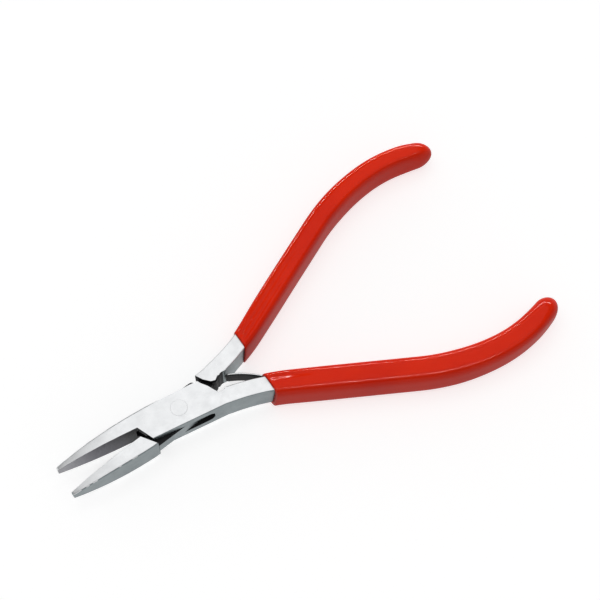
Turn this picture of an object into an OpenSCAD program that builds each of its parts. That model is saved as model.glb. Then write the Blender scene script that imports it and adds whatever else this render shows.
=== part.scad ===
// Needle nose pliers with a box joint, two dipped grips and a return leaf spring.
// The frame: origin on the hinge axis at the joint's lower flat face, +X towards the jaw tips,
// +Z up through the thickness. The tongue half has its jaw on the +Y side.
// Each half is drawn as it lies with the jaws closed, then turned by half the opening.

/* [Joint] */
// Thickness of both forgings at the joint
joint_t = 7.6; // [6.5:0.1:9]
// Width of the joint across the box
joint_w = 8.7; // [8:0.1:9.5]
// Thickness of the tongue that runs through the box
tongue_t = 3.4; // [2.8:0.1:3.8]
// Diameter of the hinge pin
pin_d = 4.2; // [3.4:0.1:5]
// Radius about the hinge axis at which the slot ends
slot_r = 8.8; // [8.6:0.1:9.2]
// Opening between the jaws at rest, in degrees
opening = 11.5; // [6:0.5:16]

/* [Jaws] */
// Distance from the hinge axis to the jaw tips
jaw_reach = 33; // [28:0.5:38]
// Width of one jaw at its tip
tip_w = 1; // [0.8:0.1:1.6]
// Thickness of the jaws at their tips
tip_t = 2.4; // [2:0.1:4]
// Outward bulge of a jaw's outer edge
jaw_bulge = 0.35; // [0:0.05:0.8]

/* [Handles] */
// Width of the bare handle behind the joint
neck_w = 4.4; // [4:0.1:4.6]
// Width of the tang inside the grip
tang_w = 4.2; // [3.6:0.1:4.4]
// Thickness of the tang inside the grip
tang_t = 6.6; // [6:0.1:7]
// Length of the straight middle stretch of a handle
handle_straight = 32.4; // [26:0.2:38]

/* [Grips] */
// Width of a grip
grip_w = 6.1; // [5.8:0.1:7]
// Thickness of a grip
grip_t = 9.4; // [9:0.1:10.4]
// Distance along the handle from its root to the grip's front edge
grip_start = 11.7; // [11:0.1:13]

/* [Spring] */
// Thickness of the leaf spring
leaf_t = 0.5; // [0.3:0.05:0.6]
// Width of the leaf spring, along the tool's thickness
leaf_w = 4.4; // [3:0.1:5]
// Length of the leaf spring's blade
leaf_len = 10; // [9:0.1:10.2]

/* [Hidden] */
$fn = 96;

half_w = joint_w / 2;
mid_z = joint_t / 2;
slot_t = tongue_t + 0.1;            // the slot clears the tongue by 0.05 on each face
slot_z = mid_z - slot_t / 2;
slot_round = 1.3;                   // rounding of the slot's blind ends and of the tongue's rim
tongue_z = mid_z - tongue_t / 2;
tongue_r = slot_r - 0.25;           // the tongue's round ends clear the ends of the slot
face_gap = 0.03;                    // from the closing plane to each jaw's gripping face
bore_d = pin_d + 0.08;              // running clearance of the pin in the tongue
past = 1;                           // how far a cutting tool reaches past the faces it cuts
wide = 60;                          // half the width of the side profile, more than the whole tool

// Front edges of the cheeks and of the tongue half's jaw: a slanted pair with a gap between
cheek_front = [[11.3, -face_gap], [9.0, half_w]];
shoulder_gap = 0.5;
boss_step = 0.9;                    // how far the boss in the crotch lies below the flat faces
root_w = half_w - 0.15;             // width of each jaw where it leaves the joint

// Where a jaw's top and bottom start to curve towards the tip
taper_x = 15;
taper_drop = (joint_t - tip_t) / 2;
taper_run = jaw_reach - taper_x;
taper_r = (taper_run * taper_run + taper_drop * taper_drop) / (2 * taper_drop);

// A handle's centre line: an outward bend, a straight, a long bend back and a tighter last one
root_pt = [-11, 2.4];
root_heading = 5;
bends = [[17.5, 17], [handle_straight, 0], [20.9, -22], [21.2, -32]];
handle_len = bends[0][0] + bends[1][0] + bends[2][0] + bends[3][0];
tang_len = handle_len - 5;
thick_end = grip_start + 2.5;       // full thickness carries on a little way under the grip
slim_from = 60;                     // tang and grip both get slimmer from here to the rear
tang_slim = 1 / 40;                 // loss of the tang's width per mm
grip_slim = 0.14;                   // part of the grip's section lost at its rear end
grip_round = 4.2;                   // length of the grip's rounded end
corner = 0.6;                       // power that sets how square the grip's section is

// The leaf spring turns about its root, tucked between the tang and the grip
leaf_root = [-22.9, 1.75];
leaf_heading = -42;
leaf_turn = 24;
leaf_eye_d = 0.9;                   // rolled eye at the root
pocket_angle = -20;

jaw_steps = 10;
rim_steps = 6;
handle_steps = 46;
leaf_steps = 12;
grip_rings = 34;
ring_sides = 20;

// A point reached by going a length l from p at heading h while turning by t, all in degrees
function along(p, h, l, t) =
    let (chord = abs(t) < 0.001 ? l : l * sin(t / 2) / (t / 2 * PI / 180))
    p + chord * [cos(h + t / 2), sin(h + t / 2)];

// The same for a handle, whose headings are measured from -X towards +Y
function back(p, h, l, t) = along(p, 180 - h, l, -t);

// Handle centre point and heading at distance s from its root, walking the list of bends
function handle_at(s, i = 0, p = root_pt, h = root_heading) =
    let (l = bends[i][0], t = bends[i][1])
    s <= l || i == len(bends) - 1
        ? [back(p, h, s, t * s / l), h + t * s / l]
        : handle_at(s - l, i + 1, back(p, h, l, t), h + t);

// The point at distance d to the outer side (+) or the inner side (-) of the centre line
function beside(s, d) =
    let (c = handle_at(s))
    c[0] + d * [sin(c[1]), cos(c[1])];

// Half width of the steel at distance s: the bare neck narrows into the tang and on to its end
function steel_half(s) =
    (neck_w + (tang_w - neck_w) * min(1, s / grip_start) - max(0, s - slim_from) * tang_slim) / 2;

// Half of the grip's width and thickness, drawn in at its front lip and at its rounded end
function grip_draw(s) =
    let (rear = (handle_len - s) / grip_round,
         slim = grip_slim * max(0, (s - slim_from) / (handle_len - slim_from)))
    (rear < 1 ? sqrt(max(0.0004, 1 - (1 - rear) * (1 - rear))) : 1) * (1 - slim);

// The grips are dipped with the tool open, so their front edges lie square to the tool's axis
front_slant = grip_w / 2 * tan(handle_at(grip_start)[1] + opening / 2);

// One side of a jaw: the closing face, the tip and the gently bulging outer edge
function jaw_outer(x0) =
    [for (i = [0:jaw_steps])
        let (t = i / jaw_steps, x = jaw_reach + (x0 - jaw_reach) * t)
        [x, tip_w + (root_w - tip_w) * t + 4 * jaw_bulge * t * (1 - t)]];

// Flip a list of points to the other side of the closing plane
function flip(pts) = [for (p = pts) [p[0], -p[1]]];

module rest_turn(side) {
    rotate([0, 0, side * opening / 2]) children();
}

// Side outline of the forgings: flat through the joint, curving in towards the tips
module side_profile() {
    arc = [for (i = [0:jaw_steps])
        let (a = asin(taper_run / taper_r) * i / jaw_steps)
        [taper_x + taper_r * sin(a), taper_r * (1 - cos(a))]];
    high = [for (i = [jaw_steps:-1:0]) [arc[i][0], joint_t - arc[i][1]]];
    polygon(concat([[-2 * wide, 0]], arc, high, [[-2 * wide, joint_t]]));
}

module tapered() {
    intersection() {
        linear_extrude(joint_t) children();
        translate([0, wide, 0]) rotate([90, 0, 0]) linear_extrude(2 * wide) side_profile();
    }
}

// Handle outline from distance s0 to s1 along its centre line
module handle_outline(s0, s1, side) {
    span = [for (i = [0:handle_steps]) s0 + (s1 - s0) * i / handle_steps];
    outer = [for (s = span) beside(s, steel_half(s))];
    inner = [for (i = [handle_steps:-1:0]) beside(span[i], -steel_half(span[i]))];
    pts = concat(outer, inner);
    polygon(side > 0 ? pts : flip(pts));
}

// Tang under a grip: thinner than the joint, so it steps in just behind the grip's front edge
module tang(side) {
    tang_z = (joint_t - tang_t) / 2;
    translate([0, 0, tang_z])
        linear_extrude(tang_t) handle_outline(grip_start, tang_len, side);
}

// Box half, seen from above with the jaws closed: far jaw, box and near handle root
module box_outline() {
    difference() {
        union() {
            polygon(concat([[-7.2, -half_w], [8, -root_w]],
                [for (i = [jaw_steps:-1:0]) flip(jaw_outer(8))[i]],
                [[jaw_reach, -face_gap]], cheek_front,
                [[-11, half_w + 0.18], beside(1.5, steel_half(0)), beside(1.5, -steel_half(0) + 0.35),
                 [-10.6, 0.9], [-9.7, -0.5], [-8.9, -1.9], [-7.9, -3.1]]));
            handle_outline(1, thick_end, 1);
        }
        // round notch in the crotch for the tongue half's shoulder
        translate([-11.4, -0.55]) circle(r = 1.35);
        // keeps the handle's inner side clear of the leaf spring
        translate([-13.2, -0.6]) circle(r = 1.0);
    }
}

// Disc of radius r and thickness t about the hinge axis, its rim rounded above and below
module round_rimmed_disc(r, t) {
    arc = [for (i = [0:rim_steps])
        let (a = 90 * i / rim_steps)
        [r - slot_round * (1 - sin(a)), slot_round * (1 - cos(a))]];
    upper = [for (i = [rim_steps:-1:0]) [arc[i][0], t - arc[i][1]]];
    rotate_extrude() polygon(concat([[0, 0]], arc, upper, [[0, t]]));
}

// Slot through the box: a disc about the hinge axis, open to the front and to the rear
module box_slot() {
    translate([0, 0, slot_z]) {
        round_rimmed_disc(slot_r, slot_t);
        linear_extrude(slot_t) {
            translate([0, -face_gap]) square([14, 9]);
            translate([-16, -9]) square([16, 9 + 0.25]);
        }
    }
}

module box_half() {
    color([0.78, 0.79, 0.8]) rest_turn(-1) {
        difference() {
            union() {
                tapered() box_outline();
                tang(1);
            }
            box_slot();
            translate([0, 0, -past]) cylinder(d = pin_d, h = joint_t + 2 * past);
            // rounded relief in the throat of the jaws, behind the gripping face
            translate([10.9, -0.1, slot_z]) cylinder(r = 0.9, h = slot_t);
        }
    }
}

// Full-thickness jaw of the tongue half, with its back edge parallel to the cheeks' front
module tongue_jaw_outline() {
    back_edge = [[cheek_front[1][0] + shoulder_gap, half_w - 0.12],
                 [cheek_front[0][0] + shoulder_gap, face_gap]];
    polygon(concat([[jaw_reach, face_gap]], jaw_outer(11), back_edge));
}

// Full-thickness neck of the tongue half, its inner corner rounded where it meets the notch
module tongue_neck_outline() {
    difference() {
        union() {
            polygon([[-8.3, -half_w], [-11, -half_w - 0.12], flip([beside(2.2, steel_half(2))])[0],
                     flip([beside(2.2, -steel_half(2))])[0], [-12.6, -0.75], [-11.5, -0.1],
                     [-10.4, -0.6], [-9.2, -2.2]]);
            handle_outline(2, thick_end, -1);
        }
        translate([-13.9, 0.62]) circle(r = 1.5);
    }
}

// Thin tongue between the cheeks: a disc cut to the box's width, joined to the jaw and the neck
module tongue() {
    translate([0, 0, tongue_z]) {
        intersection() {
            round_rimmed_disc(tongue_r, tongue_t);
            translate([-10, -half_w, 0]) cube([20, joint_w - 0.15, tongue_t]);
        }
        linear_extrude(tongue_t) {
            polygon([[0, face_gap], [11.9, face_gap], [9.7, half_w - 0.15], [0, half_w - 0.15]]);
            polygon([[0, 0], [-6, 0], [-11.4, -0.3], [-11.4, 0.4 - half_w], [-8.2, 0.8 - half_w],
                     [-3.5, 0.1 - half_w], [0, 0.1 - half_w]]);
        }
    }
    // rounded boss in the crotch, a little lower than the flat faces
    translate([-11.45, -1, boss_step]) cylinder(r = 1.05, h = joint_t - 2 * boss_step);
}

module tongue_half() {
    color([0.78, 0.79, 0.8]) rest_turn(1) {
        difference() {
            union() {
                tapered() tongue_jaw_outline();
                tapered() tongue_neck_outline();
                tongue();
                tang(-1);
            }
            translate([0, 0, -past]) cylinder(d = bore_d, h = joint_t + 2 * past);
        }
    }
}

// Hinge pin, riveted in the cheeks and ground flush
module pivot_pin() {
    color([0.7, 0.71, 0.72]) cylinder(d = pin_d, h = joint_t);
}

// One ring of a grip's skin at distance s, leaning forward on the inner side by slant
function grip_ring(s, slant) =
    [for (k = [0:ring_sides - 1])
        let (a = 360 * k / ring_sides,
             cx = sign(cos(a)) * pow(abs(cos(a)), corner),
             cz = sign(sin(a)) * pow(abs(sin(a)), corner),
             d = grip_w / 2 * grip_draw(s) * cx,
             p = beside(s + slant * cx, d))
        [p[0], p[1], mid_z + grip_t / 2 * grip_draw(s) * cz]];

// Skin of a grip, swept along the handle; the rings lose their slant over the first four of them
// and crowd together over the last fifth, where the end is rounded
module grip_skin() {
    rings = grip_rings;
    crowd = 0.8;
    stations = [for (i = [0:rings])
        let (u = i / rings, e = u < crowd ? u : crowd + (1 - crowd) * sin((u - crowd) / (1 - crowd) * 90))
        grip_start + (handle_len - 0.05 - grip_start) * e];
    verts = [for (i = [0:rings])
        each grip_ring(stations[i], front_slant * max(0, 1 - i / 4))];
    n = ring_sides;
    walls = [for (i = [0:rings - 1], k = [0:n - 1])
        [i * n + k, i * n + (k + 1) % n, (i + 1) * n + (k + 1) % n, (i + 1) * n + k]];
    front = [for (k = [n - 1:-1:0]) k];
    rear = [for (k = [0:n - 1]) rings * n + k];
    polyhedron(points = verts, faces = concat([front], walls, [rear]), convexity = 6);
}

// Steel inside a grip, reaching past its front edge so that the cavity is open
module steel_core() {
    linear_extrude(joint_t) handle_outline(grip_start - 3, thick_end, 1);
    tang(1);
}

module grip_shell() {
    difference() {
        grip_skin();
        steel_core();
    }
}

module box_grip() {
    color([0.8, 0.13, 0.03]) rest_turn(-1) difference() {
        grip_shell();
        // pocket for the root of the leaf spring
        translate([leaf_root[0], leaf_root[1], mid_z - leaf_w / 2 - 0.3]) rotate([0, 0, pocket_angle])
            translate([-0.5, -1.2, 0]) cube([4, 2, leaf_w + 0.6]);
    }
}

module tongue_grip() {
    color([0.8, 0.13, 0.03]) rest_turn(1) mirror([0, 1, 0]) grip_shell();
}

// Return spring: a thin curved blade standing on edge between the handles
module leaf_spring() {
    centre = [for (i = [0:leaf_steps])
        let (t = i / leaf_steps)
        along(leaf_root, leaf_heading, leaf_len * t, leaf_turn * t)];
    side = [for (i = [0:leaf_steps])
        let (h = leaf_heading + leaf_turn * i / leaf_steps)
        [-sin(h), cos(h)] * leaf_t / 2];
    left = [for (i = [0:leaf_steps]) centre[i] + side[i]];
    right = [for (i = [leaf_steps:-1:0]) centre[i] - side[i]];
    color([0.85, 0.86, 0.87]) rest_turn(-1) translate([0, 0, mid_z - leaf_w / 2]) {
        linear_extrude(leaf_w) polygon(concat(left, right));
        translate(leaf_root) cylinder(d = leaf_eye_d, h = leaf_w);
    }
}

box_half();
tongue_half();
pivot_pin();
box_grip();
tongue_grip();
leaf_spring();
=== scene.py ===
"""Needle nose pliers with a box joint and two dipped red grips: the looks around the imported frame.

Everything is in metres in the frame's own axes: hinge axis along +Z through the origin, jaw tips
towards +X, tongue half's jaw on +Y. Each half is described as it lies with the jaws closed, and is
turned by half the opening.
"""

import math

import bmesh
import bpy
import numpy as np
from mathutils import Matrix, Vector


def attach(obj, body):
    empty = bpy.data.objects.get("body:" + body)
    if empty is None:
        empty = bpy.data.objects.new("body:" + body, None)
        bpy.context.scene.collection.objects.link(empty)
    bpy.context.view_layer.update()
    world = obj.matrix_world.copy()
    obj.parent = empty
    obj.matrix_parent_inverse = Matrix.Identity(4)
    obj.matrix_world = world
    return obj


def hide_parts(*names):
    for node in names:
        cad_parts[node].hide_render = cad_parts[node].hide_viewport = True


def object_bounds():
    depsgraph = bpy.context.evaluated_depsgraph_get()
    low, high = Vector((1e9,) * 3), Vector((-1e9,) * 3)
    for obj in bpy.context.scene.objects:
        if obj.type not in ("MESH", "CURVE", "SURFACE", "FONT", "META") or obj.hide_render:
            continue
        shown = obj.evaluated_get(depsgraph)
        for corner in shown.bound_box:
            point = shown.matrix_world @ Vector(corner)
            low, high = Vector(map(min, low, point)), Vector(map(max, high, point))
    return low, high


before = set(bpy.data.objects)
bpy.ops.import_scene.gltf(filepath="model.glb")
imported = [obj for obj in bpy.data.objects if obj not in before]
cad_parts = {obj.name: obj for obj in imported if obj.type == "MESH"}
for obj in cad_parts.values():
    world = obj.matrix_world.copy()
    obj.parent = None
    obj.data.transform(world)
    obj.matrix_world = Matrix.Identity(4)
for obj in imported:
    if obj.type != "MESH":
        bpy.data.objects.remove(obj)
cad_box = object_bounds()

MM = 0.001
STRAIGHT = 0.001  # a turn of fewer degrees than this counts as none

# ---------------------------------------------------------------- the tool's own measures, in mm
OPENING = 11.5
JOINT_T = 7.6
JOINT_W = 8.7
SLOT_T = 3.5
SLOT_R = 8.8
MID_Z = JOINT_T / 2
HALF_W = JOINT_W / 2
GRIP_W = 6.1
GRIP_T = 9.4
GRIP_START = 11.7
ROOT_PT = (-11.0, 2.4)
ROOT_HEADING = 5.0
BENDS = ((17.5, 17.0), (32.4, 0.0), (20.9, -22.0), (21.2, -32.0))
HANDLE_LEN = sum(b[0] for b in BENDS)
SLIM_FROM = 60.0
GRIP_SLIM = 0.14
LEAF_ROOT = (-22.9, 1.75)
LEAF_HEADING = -42.0
LEAF_TURN = 24.0
LEAF_LEN = 10.0
LEAF_W = 4.4
LEAF_T = 0.5


def along(p, heading, length, turn):
    """The point reached from p by going length at heading while turning, in mm and degrees."""
    half = math.radians(turn / 2)
    chord = length if abs(turn) < STRAIGHT else length * math.sin(half) / half
    way = math.radians(heading + turn / 2)
    return (p[0] + chord * math.cos(way), p[1] + chord * math.sin(way))


def handle_at(s):
    """Centre point and heading of a handle at distance s from its root, jaws closed."""
    p, h = ROOT_PT, ROOT_HEADING
    for i, (length, turn) in enumerate(BENDS):
        if s <= length or i == len(BENDS) - 1:
            part = turn * s / length
            return along(p, 180 - h, s, -part), h + part
        p, h, s = along(p, 180 - h, length, -turn), h + turn, s - length


def beside(s, d):
    """The point at distance d to the outer side (+) of the handle's centre line."""
    (x, y), h = handle_at(s)
    return x + d * math.sin(math.radians(h)), y + d * math.cos(math.radians(h))


def rest_turn(side):
    """The turn that opens a half from closed to rest: +1 the tongue half, -1 the box half."""
    return Matrix.Rotation(math.radians(side * OPENING / 2), 4, "Z")


# ---------------------------------------------------------------- materials
def new_material(name):
    """An empty material: the material, its node tree and its surface shader."""
    mat = bpy.data.materials.new(name)
    mat.use_nodes = True
    tree = mat.node_tree
    tree.nodes.clear()
    out = tree.nodes.new("ShaderNodeOutputMaterial")
    shader = tree.nodes.new("ShaderNodeBsdfPrincipled")
    tree.links.new(shader.outputs["BSDF"], out.inputs["Surface"])
    return mat, tree, shader


def node(tree, kind, inputs=None):
    """A new node with these values on its input sockets."""
    n = tree.nodes.new(kind)
    for key, value in (inputs or {}).items():
        n.inputs[key].default_value = value
    return n


def noise(tree, scale, detail=4.0, stretch=(1, 1, 1), rough=0.55):
    """Noise in the object's own coordinates, with scale in cycles per metre."""
    coord = node(tree, "ShaderNodeTexCoord")
    mapping = node(tree, "ShaderNodeMapping", {"Scale": stretch})
    tex = node(tree, "ShaderNodeTexNoise", {"Scale": scale, "Detail": detail, "Roughness": rough})
    tree.links.new(coord.outputs["Object"], mapping.inputs["Vector"])
    tree.links.new(mapping.outputs["Vector"], tex.inputs["Vector"])
    return tex


def ramp(tree, source, stops):
    """A colour ramp of (position, colour) stops, driven by source."""
    r = node(tree, "ShaderNodeValToRGB")
    els = r.color_ramp.elements
    while len(els) < len(stops):
        els.new(0.5)
    for el, (pos, col) in zip(els, stops):
        el.position = pos
        el.color = (*col, 1)
    tree.links.new(source, r.inputs["Fac"])
    return r


def to_range(tree, source, low, high, from_low=0.3, from_high=0.7):
    """Source mapped from one range to low..high."""
    m = node(tree, "ShaderNodeMapRange", {"From Min": from_low, "From Max": from_high,
                                          "To Min": low, "To Max": high})
    tree.links.new(source, m.inputs["Value"])
    return m


def bump(tree, shader, source, strength, distance):
    """Relief on the shader, with distance in metres."""
    b = node(tree, "ShaderNodeBump", {"Strength": strength, "Distance": distance})
    tree.links.new(source, b.inputs["Height"])
    tree.links.new(b.outputs["Normal"], shader.inputs["Normal"])


def steel(name, dark, light, rough, grain=(1, 6, 6), metallic=1.0):
    """Ground and satin-polished steel: cloudy tone, fine lengthwise grain in gloss and relief."""
    mat, tree, shader = new_material(name)
    cloud = noise(tree, scale=260, detail=3)
    tone = ramp(tree, cloud.outputs["Fac"], [(0.3, dark), (0.7, light)])
    tree.links.new(tone.outputs["Color"], shader.inputs["Base Color"])
    lines = noise(tree, scale=900, detail=5, stretch=grain, rough=0.65)
    gloss = to_range(tree, lines.outputs["Fac"], rough - 0.05, rough + 0.07)
    tree.links.new(gloss.outputs["Result"], shader.inputs["Roughness"])
    bump(tree, shader, lines.outputs["Fac"], strength=0.25, distance=0.00003)
    shader.inputs["Metallic"].default_value = metallic
    return mat


def grip_face_steel(name):
    """The gripping faces: satin, with painted shade darkening them to near black towards the throat."""
    mat, tree, shader = new_material(name)
    coord = node(tree, "ShaderNodeTexCoord")
    split = node(tree, "ShaderNodeSeparateXYZ")
    tree.links.new(coord.outputs["Object"], split.inputs["Vector"])
    reach = to_range(tree, split.outputs["X"], 0, 1, from_low=0.0108, from_high=0.031)
    # painted shade: near black at the throat, lighter towards the tips
    tone = ramp(tree, reach.outputs["Result"],
                [(0.0, (0.002, 0.002, 0.002)), (0.10, (0.012, 0.012, 0.013)),
                 (0.22, (0.06, 0.06, 0.07)), (0.6, (0.13, 0.13, 0.15)), (1.0, (0.30, 0.30, 0.32))])
    tree.links.new(tone.outputs["Color"], shader.inputs["Base Color"])
    lines = noise(tree, scale=1200, detail=4, stretch=(6, 1, 1), rough=0.6)
    gloss = to_range(tree, lines.outputs["Fac"], 0.34, 0.5)
    tree.links.new(gloss.outputs["Result"], shader.inputs["Roughness"])
    bump(tree, shader, lines.outputs["Fac"], strength=0.3, distance=0.00004)
    shader.inputs["Metallic"].default_value = 0.9
    return mat


def vinyl(name):
    """Dipped vinyl: glossy orange red with faint clouding and a soft uneven skin."""
    mat, tree, shader = new_material(name)
    cloud = noise(tree, scale=55, detail=3)
    tone = ramp(tree, cloud.outputs["Fac"],
                [(0.25, (0.36, 0.0075, 0.0)), (0.75, (0.42, 0.0115, 0.0))])
    tree.links.new(tone.outputs["Color"], shader.inputs["Base Color"])
    skin = noise(tree, scale=240, detail=3, stretch=(0.35, 1, 1))
    fine = noise(tree, scale=2600, detail=2)
    gloss = to_range(tree, fine.outputs["Fac"], 0.13, 0.19)
    tree.links.new(gloss.outputs["Result"], shader.inputs["Roughness"])
    bump(tree, shader, skin.outputs["Fac"], strength=0.35, distance=0.0002)
    shader.inputs["Specular IOR Level"].default_value = 0.0
    shader.inputs["Coat Weight"].default_value = 0.28
    shader.inputs["Coat Roughness"].default_value = 0.09
    return mat


TOP = steel("steel_polished", (0.72, 0.73, 0.74), (0.83, 0.84, 0.85), rough=0.31)
# painted shade: the sides get a far darker base colour than the tops, for the shade they fall in; only
# their slightly rougher gloss is the ground finish
SIDE_SHADED = steel("steel_side_shaded", (0.195, 0.225, 0.235), (0.25, 0.285, 0.295), rough=0.36)
# painted shade: near black stands for the deep shade in the slot, throat and crotch and on the spring's
# sides; inside the joint part of it is dark unpolished scale
DARK_SCALE_AND_SHADE = steel("steel_unpolished_and_shaded", (0.010, 0.010, 0.011), (0.022, 0.022, 0.024), rough=0.55, metallic=0.6)
JAW = grip_face_steel("steel_gripping_face_shaded")
PIN = steel("steel_pin", (0.73, 0.74, 0.75), (0.81, 0.82, 0.83), rough=0.31, grain=(3, 3, 1))
BLADE = steel("spring_steel", (0.80, 0.81, 0.82), (0.88, 0.89, 0.90), rough=0.24)
VINYL = vinyl("red_vinyl")


# ---------------------------------------------------------------- meshes
def new_piece(name, bm, *materials):
    """A new object from a mesh under construction, with its material slots in that order."""
    mesh = bpy.data.meshes.new(name)
    bm.to_mesh(mesh)
    bm.free()
    for mat in materials:
        mesh.materials.append(mat)
    obj = bpy.data.objects.new(name, mesh)
    bpy.context.scene.collection.objects.link(obj)
    return obj


def skin_rings(rings, turn):
    """A closed tube through rings of points in mm, turned to where the piece is at rest."""
    bm = bmesh.new()
    grid = [[bm.verts.new(turn @ Vector(p) * MM) for p in ring] for ring in rings]
    for ring, following in zip(grid, grid[1:]):
        for k in range(len(ring)):
            j = (k + 1) % len(ring)
            bm.faces.new((ring[k], ring[j], following[j], following[k]))
    bm.faces.new(grid[0][::-1])
    bm.faces.new(grid[-1])
    bmesh.ops.recalc_face_normals(bm, faces=bm.faces)
    return bm


# ---------------------------------------------------------------- steel halves
# the finishes, three of them with painted shade, in the order of each half's material slots
POLISHED, GROUND_SHADED, RAW_AND_SHADED, GRIPPING = range(4)
FINISHES_AND_SHADES = (TOP, SIDE_SHADED, DARK_SCALE_AND_SHADE, JAW)

LEVEL = 0.7  # a face whose normal has more Z than this is a top, bottom or shelf
SKIN = 0.05  # a shelf lies at least this deep inside the joint's thickness
FACE_OFF = 0.03  # how far each gripping face is from the middle plane
FACE_TOL = 0.02

# where each half's own surfaces lie, in mm, jaws closed
BOX_SHELF_END = 12.0
BOX_FACE_FROM = 10.8
BOX_THROAT_X = (8.8, 11.6)
BOX_CROTCH_X = (-13.0, -7.15)
BOX_CROTCH_Y = (-4.3, 1.6)
BOX_SLOT_EDGE = HALF_W - 0.25
BOX_MOUTH_X = (10, 12)
BOX_MOUTH_Y = (-1.2, 1.2)
SLOT_Z = (MID_Z - SLOT_T / 2, MID_Z + SLOT_T / 2)
TONGUE_SHELF_END = 12.5
TONGUE_FACE_FROM = 11.5
TONGUE_THROAT_X = (8.5, 12.5)
TONGUE_CHEEK_X = (-8, 9.8)
TONGUE_CROTCH_X = (-14.3, -6.8)
TONGUE_CROTCH_Y = -4.2
TONGUE_R = 8.7
TONGUE_CHEEK = HALF_W - 0.4


def within(value, span):
    return span[0] < value < span[1]


def level_zone(c, shelf_end):
    """Zone of a level face: near black on a shelf inside the joint, painted shade with some unpolished
    scale; polished elsewhere.
    """
    return RAW_AND_SHADED if within(c.z, (SKIN, JOINT_T - SKIN)) and c.x < shelf_end else POLISHED


def zone_of_box(c, n):
    """Which finish, some with painted shade, a face of the box half has, from its middle and normal, in
    mm, jaws closed.
    """
    if abs(n.z) > LEVEL:
        return level_zone(c, BOX_SHELF_END)
    if abs(c.y + FACE_OFF) < FACE_TOL and c.x > BOX_FACE_FROM:
        return GRIPPING
    throat = c.y > -0.1 and within(c.x, BOX_THROAT_X) and n.x > 0.4
    crotch = within(c.x, BOX_CROTCH_X) and within(c.y, BOX_CROTCH_Y)
    slot = math.hypot(c.x, c.y) < SLOT_R + 0.1 and abs(c.y) < BOX_SLOT_EDGE
    mouth = within(c.x, BOX_MOUTH_X) and within(c.y, BOX_MOUTH_Y) and within(c.z, SLOT_Z)
    # throat, crotch, slot and mouth faces get the near-black steel, painted shade with some dark
    # unpolished scale; other upright faces get the ground steel darkened with painted shade
    return RAW_AND_SHADED if throat or crotch or slot or mouth else GROUND_SHADED


def zone_of_tongue(c, n):
    """The same for the tongue half."""
    if abs(n.z) > LEVEL:
        return level_zone(c, TONGUE_SHELF_END)
    # the middle face short of the jaw, the throat, the crotch and the tongue in the slot get the
    # near-black steel: painted shade with some dark unpolished scale
    if abs(c.y - FACE_OFF) < FACE_TOL:
        return GRIPPING if c.x > TONGUE_FACE_FROM else RAW_AND_SHADED
    if n.x < -0.4 and within(c.x, TONGUE_THROAT_X):
        return RAW_AND_SHADED
    # the cheek's outer side: ground steel darkened with painted shade
    if c.y > TONGUE_CHEEK and within(c.x, TONGUE_CHEEK_X):
        return GROUND_SHADED
    crotch = within(c.x, TONGUE_CROTCH_X) and c.y >= TONGUE_CROTCH_Y
    tongue = math.hypot(c.x, c.y) < TONGUE_R and abs(c.y) < TONGUE_CHEEK
    return RAW_AND_SHADED if crotch or tongue else GROUND_SHADED


# roundings of the edges, in mm
OUTER_ROUND = 0.42
INNER_ROUND = 0.24
SIDE_ROUND = 0.14
FACE_ROUND = 0.07
RAW_ROUND = 0.06
JAW_FROM = 8
BEVEL_MAX = 0.8


def edge_radius(za, zb, mid, side):
    """Radius in mm of the rounding on an edge between faces of zones za and zb."""
    pair = {za, zb}
    if pair == {POLISHED, GROUND_SHADED}:
        own_side = mid.y * side > 0
        return OUTER_ROUND if own_side or mid.x > JAW_FROM else INNER_ROUND
    if GRIPPING in pair:
        return FACE_ROUND
    if pair == {GROUND_SHADED}:
        return SIDE_ROUND
    return RAW_ROUND


MERGE_FIRST = 2e-6  # metres
MERGE_AFTER = 2e-5
FLAT_ANGLE = 0.4  # degrees, faces that meet at less become one
SHARP_ANGLE = 22  # degrees, edges that meet at more are rounded
SHORT_EDGE = 0.4  # mm, shorter edges on the jaws are closed up before rounding
SHORT_FROM = 12


def steel_half(name, node_name, body, side, zone_of):
    """A copy of the forging with its edges rounded as the real one's are, and its finishes with painted
    shade on the sides, hollows and gripping faces.
    """
    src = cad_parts[node_name]
    bm = bmesh.new()
    bm.from_mesh(src.data)
    bmesh.ops.remove_doubles(bm, verts=bm.verts, dist=MERGE_FIRST)
    bmesh.ops.dissolve_limit(bm, angle_limit=math.radians(FLAT_ANGLE), verts=bm.verts,
                             edges=bm.edges, delimit={"NORMAL"})
    bmesh.ops.remove_doubles(bm, verts=bm.verts, dist=MERGE_AFTER)
    back = rest_turn(-side)
    short = [e for e in bm.edges if e.calc_length() < SHORT_EDGE * MM
             and (back @ (e.verts[0].co / MM)).x > SHORT_FROM]
    bmesh.ops.collapse(bm, edges=short)
    bm.normal_update()
    for f in bm.faces:
        c = back @ (f.calc_center_median() / MM)
        f.material_index = zone_of(c, back.to_3x3() @ f.normal)
        f.smooth = True
    weight = bm.edges.layers.float.new("bevel_weight_edge")
    for e in bm.edges:
        if len(e.link_faces) != 2 or e.calc_face_angle(0) < math.radians(SHARP_ANGLE):
            continue
        mid = back @ ((e.verts[0].co + e.verts[1].co) / 2 / MM)
        za, zb = (f.material_index for f in e.link_faces)
        e[weight] = edge_radius(za, zb, mid, side) / BEVEL_MAX
    obj = new_piece(name, bm, *FINISHES_AND_SHADES)
    bevel = obj.modifiers.new("rounded_edges", "BEVEL")
    bevel.limit_method = "WEIGHT"
    bevel.width = BEVEL_MAX * MM
    bevel.segments = 3
    bevel.use_clamp_overlap = False
    bevel.harden_normals = False
    soften = obj.modifiers.new("even_normals", "WEIGHTED_NORMAL")
    soften.keep_sharp = True
    soften.weight = 80
    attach(obj, body)
    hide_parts(node_name)
    return obj


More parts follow.
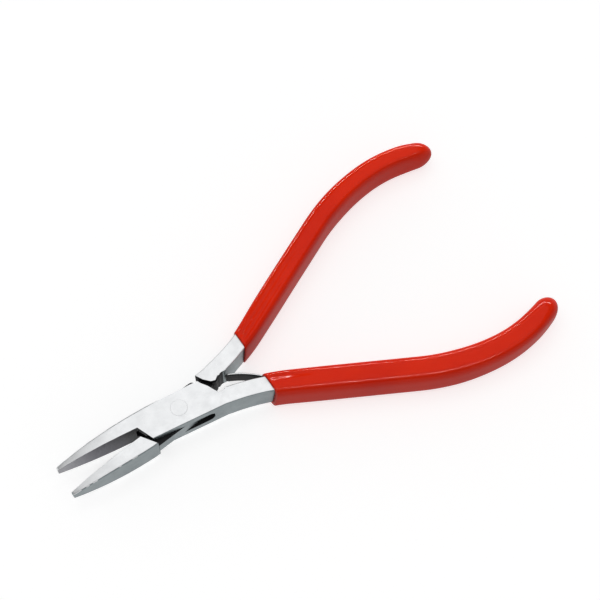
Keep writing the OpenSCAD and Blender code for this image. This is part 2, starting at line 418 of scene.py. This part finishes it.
# ---------------------------------------------------------------- grips
FRONT_SLANT = GRIP_W / 2 * math.tan(math.radians(handle_at(GRIP_START)[1] + OPENING / 2))
TOP_SLANT = 0.5  # the front edge's top lies this far behind its middle
SLANT_FADE = 10.0
DRAW_IN_LEN = 16.0
ROUND_OFF_LEN = 9.0
END_ROUND = 4.2
END_CLEAR = 0.02
LEAST = 0.02
GRIP_SIDES = 96
GRIP_RINGS = 150
EVEN, CLOSER = 0.8, 0.2  # shares of the length with even rings, then with closer ones
SECTION_STEPS = 1600
# the rolled lip, front to rear: how far behind the front edge, how far in from the skin
LIP = ((2.2, 1.3), (0.9, 1.25), (0.05, 1.15), (0.0, 0.45), (0.03, 0.2), (0.12, 0.06), (0.28, 0.0))
LIP_LEN = LIP[-1][0]


def near_lean(s):
    """How far the near grip's dip sits to the outer side (+) of its tang."""
    most, length = 0.25, 60
    return most * max(0.0, 1 - s / length)


def far_lean(s):
    """The same for the far grip."""
    most, middle, reach = -0.5, 58, 22
    return most * math.exp(-((s - middle) / reach) ** 2)


def grip_draw(s):
    """Share of the grip's full section at s: slimmer to the rear, and rounded at its end."""
    rear = min(1.0, (HANDLE_LEN - s) / END_ROUND)
    slim = GRIP_SLIM * max(0.0, (s - SLIM_FROM) / (HANDLE_LEN - SLIM_FROM))
    return math.sqrt(max(0.0, 1 - (1 - rear) ** 2)) * (1 - slim)


def section(power, half_x, half_z, count):
    """Evenly spaced points round a superellipse; a low power makes it squarer."""
    a = np.linspace(0, 2 * np.pi, SECTION_STEPS + 1)
    x = half_x * np.sign(np.cos(a)) * np.abs(np.cos(a)) ** power
    z = half_z * np.sign(np.sin(a)) * np.abs(np.sin(a)) ** power
    run = np.concatenate([[0], np.cumsum(np.hypot(np.diff(x), np.diff(z)))])
    at = (np.arange(count) + 0.5) / count * run[-1]
    return list(zip(np.interp(at, run, x).tolist(), np.interp(at, run, z).tolist()))


def grip_stations():
    """Where each ring of a grip is along its handle, and how far in from the skin it is."""
    length = HANDLE_LEN - END_CLEAR - GRIP_START
    lip = [(GRIP_START + behind, inset) for behind, inset in LIP]
    skin = []
    for i in range(1, GRIP_RINGS + 1):
        u = i / GRIP_RINGS
        e = u if u < EVEN else EVEN + CLOSER * math.sin((u - EVEN) / CLOSER * math.pi / 2)
        skin.append((GRIP_START + LIP_LEN + (length - LIP_LEN) * e, 0.0))
    return lip + skin


def grip_mesh(name, side, half_w, square, draw_in, lean, ridges):
    """Dipped sleeve: a swept skin with a rolled front lip square to the tool's axis."""
    rings = []
    for s, inset in grip_stations():
        slant = max(0.0, 1 - (s - GRIP_START) / SLANT_FADE)
        draw = grip_draw(s)
        front = 1 - draw_in * max(0.0, 1 - (s - GRIP_START) / DRAW_IN_LEN) ** 1.6
        round_off = max(0.0, 1 - (HANDLE_LEN - s) / ROUND_OFF_LEN)
        power = square + (1.0 - square) * round_off ** 1.5
        half_x = max(LEAST, half_w * draw * front - inset)
        half_z = max(LEAST, GRIP_T / 2 * draw - inset)
        ring = []
        for d, z in section(power, half_x, half_z, GRIP_SIDES):
            if inset == 0.0:
                z += ridges(s - GRIP_START, d, z / half_z)
            shift = FRONT_SLANT * slant * (d / (GRIP_W / 2)) + TOP_SLANT * slant * (z / (GRIP_T / 2))
            x, y = beside(s + shift, d + lean(s))
            ring.append((x, y * side, MID_Z + z))
        rings.append(ring)
    bm = skin_rings(rings, rest_turn(-side))
    for f in bm.faces:
        f.smooth = True
    return new_piece(name, bm, VINYL)


def upper_ridges(t, d, up):
    """Shallow lengthwise runs in the vinyl over the first stretch of the far grip's top.

    t is the distance behind the front edge, d the distance across, up the share of the half height.
    """
    length, fade_in, half_width, depth, pitch, phase = 34, 2.0, 2.4, 0.27, 1.35, 0.2
    if up <= 0.5 or t > length:
        return 0.0
    fade = min(1.0, t / fade_in) * max(0.0, 1 - t / length)
    edge = max(0.0, 1 - (abs(d) / half_width) ** 2)
    return -depth * fade * edge * (0.5 - 0.5 * math.cos(2 * math.pi * (d + phase) / pitch))


def lower_ridges(t, d, up):
    """One shallow run along the near grip's top."""
    length, fade_in, depth, middle, width = 14, 1.5, 0.40, -1.4, 0.7
    if up <= 0.5 or t > length:
        return 0.0
    fade = min(1.0, t / fade_in) * (1 - t / length)
    return -depth * fade * math.exp(-((d - middle) / width) ** 2)


# ---------------------------------------------------------------- return spring
LEAF_STEPS = 28
LEAF_SIDES = 16
LEAF_SQUARE = 0.35  # power of the section's superellipse
LEAF_TIP, LEAF_TIP_LEN = 0.93, 0.07  # shares of the length: where the tip begins, and its own
TIP_NARROW = 0.25
TIP_THIN = 0.6


def leaf_mesh(name):
    """Return spring: a curved blade on edge, its long edges rounded and its tip narrowed."""
    rings = []
    for i in range(LEAF_STEPS + 1):
        t = i / LEAF_STEPS
        cx, cy = along(LEAF_ROOT, LEAF_HEADING, LEAF_LEN * t, LEAF_TURN * t)
        h = math.radians(LEAF_HEADING + LEAF_TURN * t)
        side = Vector((-math.sin(h), math.cos(h), 0))
        end = max(0.0, (t - LEAF_TIP) / LEAF_TIP_LEN)
        half = (LEAF_W / 2) * (1 - TIP_NARROW * end * end)
        ring = []
        for k in range(LEAF_SIDES):
            a = 2 * math.pi * (k + 0.5) / LEAF_SIDES
            across = math.copysign(abs(math.cos(a)) ** LEAF_SQUARE, math.cos(a)) * (LEAF_T / 2)
            across *= 1 - TIP_THIN * end * end
            up = math.copysign(abs(math.sin(a)) ** LEAF_SQUARE, math.sin(a)) * half
            ring.append(Vector((cx, cy, MID_Z)) + side * across + Vector((0, 0, up)))
        rings.append(ring)
    bm = skin_rings(rings, rest_turn(-1))
    for f in bm.faces:
        f.smooth = len(f.verts) == 4
        # the blade's flat sides get the near-black steel as painted shade; its top and bottom edges get
        # the bright spring steel
        f.material_index = 0 if abs(f.normal.z) > 0.3 else 1
    return new_piece(name, bm, BLADE, DARK_SCALE_AND_SHADE)


# ---------------------------------------------------------------- the pieces
box_steel = steel_half("box_half_steel", "box_half", "box_side", -1, zone_of_box)
tongue_steel = steel_half("tongue_half_steel", "tongue_half", "tongue_side", 1, zone_of_tongue)

near_grip = grip_mesh("near_grip", side=1, half_w=3.5, square=0.46, draw_in=0.04,
                      lean=near_lean, ridges=lower_ridges)
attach(near_grip, "box_side")
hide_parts("box_grip")

far_grip = grip_mesh("far_grip", side=-1, half_w=3.0, square=0.42, draw_in=0.12,
                     lean=far_lean, ridges=upper_ridges)
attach(far_grip, "tongue_side")
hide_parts("tongue_grip")

leaf = leaf_mesh("leaf_blade")
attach(leaf, "spring")
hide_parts("leaf_spring")

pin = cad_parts["pivot_pin"]
pin.data.materials.clear()
pin.data.materials.append(PIN)


# ---------------------------------------------------------------- floor
FLOOR_HALF = 1.6
FLOOR_CELLS = 8
FLOOR_Z = cad_box[0][2]


def white_floor_material():
    """Matt white that glows a little, so that shadows on it stay faint."""
    mat, tree, shader = new_material("floor_white")
    shader.inputs["Base Color"].default_value = (0.6, 0.6, 0.6, 1)
    shader.inputs["Emission Color"].default_value = (1, 1, 1, 1)
    shader.inputs["Emission Strength"].default_value = 0.66
    shader.inputs["Roughness"].default_value = 0.9
    shader.inputs["Specular IOR Level"].default_value = 0.0
    return mat


def floor_at(i):
    return FLOOR_HALF * (2 * i / FLOOR_CELLS - 1)


floor_bm = bmesh.new()
grid = [[floor_bm.verts.new((floor_at(i), floor_at(j), FLOOR_Z)) for j in range(FLOOR_CELLS + 1)]
        for i in range(FLOOR_CELLS + 1)]
for i in range(FLOOR_CELLS):
    for j in range(FLOOR_CELLS):
        floor_bm.faces.new((grid[i][j], grid[i + 1][j], grid[i + 1][j + 1], grid[i][j + 1]))
floor = new_piece("floor", floor_bm, white_floor_material())


# ---------------------------------------------------------------- light and camera
TARGET = Vector((-0.0412, -0.00799, 0.0076))
CAM_AZ, CAM_EL, CAM_DIST = 146.3, 64.0, 0.3825


def stand(obj, azimuth, elevation, distance):
    """Puts a light or the camera that far from TARGET in that direction, facing it."""
    a, e = math.radians(azimuth), math.radians(elevation)
    way = Vector((math.cos(e) * math.sin(a), -math.cos(e) * math.cos(a), math.sin(e)))
    obj.location = TARGET + way * distance
    obj.rotation_euler = (-way).to_track_quat("-Z", "Y").to_euler()
    bpy.context.scene.collection.objects.link(obj)


def area_light(name, size, radiance, azimuth, elevation, distance):
    """A soft rectangular light whose face has that radiance."""
    data = bpy.data.lights.new(name, "AREA")
    data.shape = "RECTANGLE"
    data.size, data.size_y = size
    data.energy = radiance * math.pi * size[0] * size[1]
    obj = bpy.data.objects.new(name, data)
    stand(obj, azimuth, elevation, distance)
    return obj


def shine_on(lamp, name, *objs):
    """The lamp lights only these pieces, so that it shapes their gloss and nothing else."""
    group = bpy.data.collections.new(name)
    for o in objs:
        group.objects.link(o)
    lamp.light_linking.receiver_collection = group


world = bpy.data.worlds.new("studio")
bpy.context.scene.world = world
world.use_nodes = True
sky = world.node_tree
sky_coord = node(sky, "ShaderNodeTexCoord")
sky_split = node(sky, "ShaderNodeSeparateXYZ")
sky.links.new(sky_coord.outputs["Generated"], sky_split.inputs["Vector"])
SKY_LEVELS = ((0.0, 0.9), (0.25, 0.7), (0.5, 0.3), (1.0, 0.3))  # height, brightness
height = ramp(sky, sky_split.outputs["Z"], [(pos, (level,) * 3) for pos, level in SKY_LEVELS])
sky.links.new(height.outputs["Color"], sky.nodes["Background"].inputs["Color"])
sky.nodes["Background"].inputs["Strength"].default_value = 1.0

area_light("overhead", size=(1.2, 1.2), radiance=0.7, azimuth=0, elevation=90, distance=1.0)

# the key stands opposite the camera, where the steel's flat tops mirror it
key = area_light("key", size=(0.55, 0.55), radiance=0.30, azimuth=CAM_AZ + 180, elevation=62,
                 distance=0.7)
shine_on(key, "steel_pieces", box_steel, tongue_steel, leaf, pin)

# two strips for the grips' gloss: one low behind, one high in front
for name, azimuth, elevation, radiance in (("strip_behind", CAM_AZ + 180, 38, 70),
                                           ("strip_front", CAM_AZ, 78, 36)):
    strip = area_light(name, (0.9, 0.032), radiance, azimuth, elevation, distance=0.8)
    shine_on(strip, name + "_pieces", near_grip, far_grip)

camera_data = bpy.data.cameras.new("camera")
camera_data.lens = 90
camera_data.sensor_width = 36
camera = bpy.data.objects.new("camera", camera_data)
stand(camera, CAM_AZ, CAM_EL, CAM_DIST)
bpy.context.scene.camera = camera
bpy.context.scene.view_settings.view_transform = "Standard"
